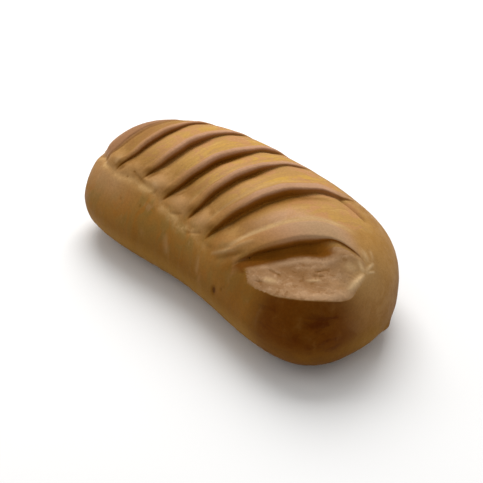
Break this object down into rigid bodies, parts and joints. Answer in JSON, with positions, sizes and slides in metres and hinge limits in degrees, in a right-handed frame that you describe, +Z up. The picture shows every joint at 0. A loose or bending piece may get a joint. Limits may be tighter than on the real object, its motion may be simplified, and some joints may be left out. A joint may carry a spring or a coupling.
{
  "type": "bloomer loaf",
  "caption": "Long rounded white bloomer loaf with a browned crust, a row of deep diagonal slashes across its crown and a flat base.",
  "frame": {"origin": "middle of the bounding box at the level of the flat base", "axes": "+X along the loaf towards the end with the wide slash, -Y the side the picture shows, +Z up from the base"},
  "size_m": [0.3, 0.15, 0.0989],
  "materials": {
    "crust": "browned bread crust, satin on the skin and dry matte on the torn floors of the slashes"
  },
  "bodies": {
    "root": {"loaf": "crust"}
  },
  "joints": []
}
